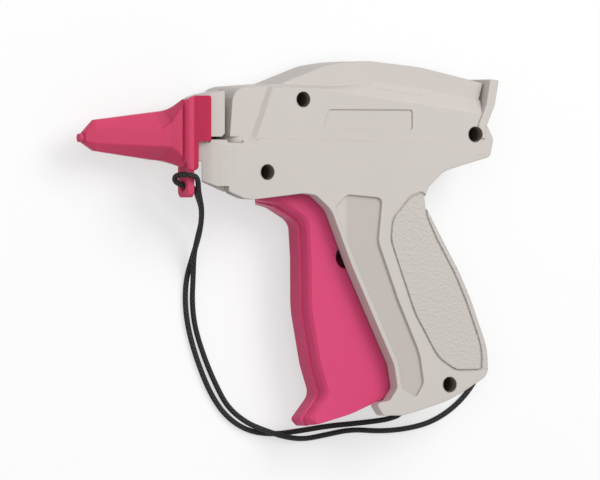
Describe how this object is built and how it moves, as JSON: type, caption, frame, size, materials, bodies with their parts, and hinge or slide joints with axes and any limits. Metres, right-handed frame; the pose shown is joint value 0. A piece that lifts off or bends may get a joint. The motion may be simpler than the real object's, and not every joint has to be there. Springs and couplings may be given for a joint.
{
  "type": "garment tag attacher",
  "caption": "Hand-held garment tag attacher: grey two-half pistol casing, squeeze trigger, hidden lever and push rod, hollow needle under a pull-off cap, and a thin braided hand loop.",
  "frame": {"origin": "on the trigger's pivot axis, at the flat outer face of the right casing that the part lies on", "axes": "+X from the muzzle to the back, +Y up in the hand, +Z out of the left side; the part lies on its right side on Z = 0"},
  "size_m": [0.1689, 0.1332, 0.0275],
  "materials": {
    "casing_grey": "satin, fine grain",
    "trigger_pink": "glossy",
    "cap_pink": "glossy",
    "inner_white": "satin",
    "steel": "polished",
    "dark_steel": "blackened",
    "cord_black": "braided"
  },
  "bodies": {
    "casing": {"left_casing": "casing_grey", "right_casing": "casing_grey", "casing_screws": "dark_steel", "lever_pin": "steel", "needle": "steel", "needle_base": "inner_white", "clip_guide": "inner_white", "feed_axle": "steel", "index_spring": "steel", "pawl_pin": "steel", "trigger_spring": "steel", "cord_lower_leg": "cord_black", "cord_upper_leg": "cord_black", "cord_knots": "cord_black"},
    "trigger": {"trigger": "trigger_pink", "drive_pin": "steel"},
    "lever": {"drive_lever": "inner_white"},
    "slide": {"slide": "inner_white", "slide_pin": "steel", "push_rod": "steel"},
    "feed_wheel": {"feed_wheel": "inner_white"},
    "feed_pawl": {"feed_pawl": "inner_white"},
    "cap": {"needle_cap": "cap_pink", "cord_hitch": "cord_black"}
  },
  "joints": [
    {"name": "trigger_squeeze", "type": "hinge", "parent": "casing", "child": "trigger", "pos_m": [0, 0, 0.0135], "axis": [0, 0, 1], "range_deg": [0, 16], "stiffness_Nm_per_rad": 2, "springref_deg": -8.59, "deforming": ["trigger_spring"]},
    {"name": "lever_turn", "type": "hinge", "parent": "casing", "child": "lever", "pos_m": [0.0415, -0.0189, 0.0135], "axis": [0, 0, 1], "range_deg": [0, 78.5]},
    {"name": "slide_stroke", "type": "slide", "parent": "casing", "child": "slide", "axis": [-1, 0, 0], "range_m": [0, 0.0501]},
    {"name": "feed_wheel_turn", "type": "hinge", "parent": "casing", "child": "feed_wheel", "pos_m": [-0.016, 0.0174, 0.0089], "axis": [1, 0, 0], "continuous": true},
    {"name": "feed_pawl_swing", "type": "hinge", "parent": "casing", "child": "feed_pawl", "pos_m": [-0.002, 0.0214, 0.0089], "axis": [0, 0, 1], "range_deg": [-5, 5], "stiffness_Nm_per_rad": 0.01},
    {"name": "cap_pull", "type": "slide", "parent": "casing", "child": "cap", "axis": [-1, 0, 0], "range_m": [0, 0.042]}
  ],
  "couplings": [
    {"joint": "lever_turn", "follows": "trigger_squeeze", "ratio": 4.9},
    {"joint": "slide_stroke", "follows": "trigger_squeeze", "m_per_rad": 0.17905}
  ]
}
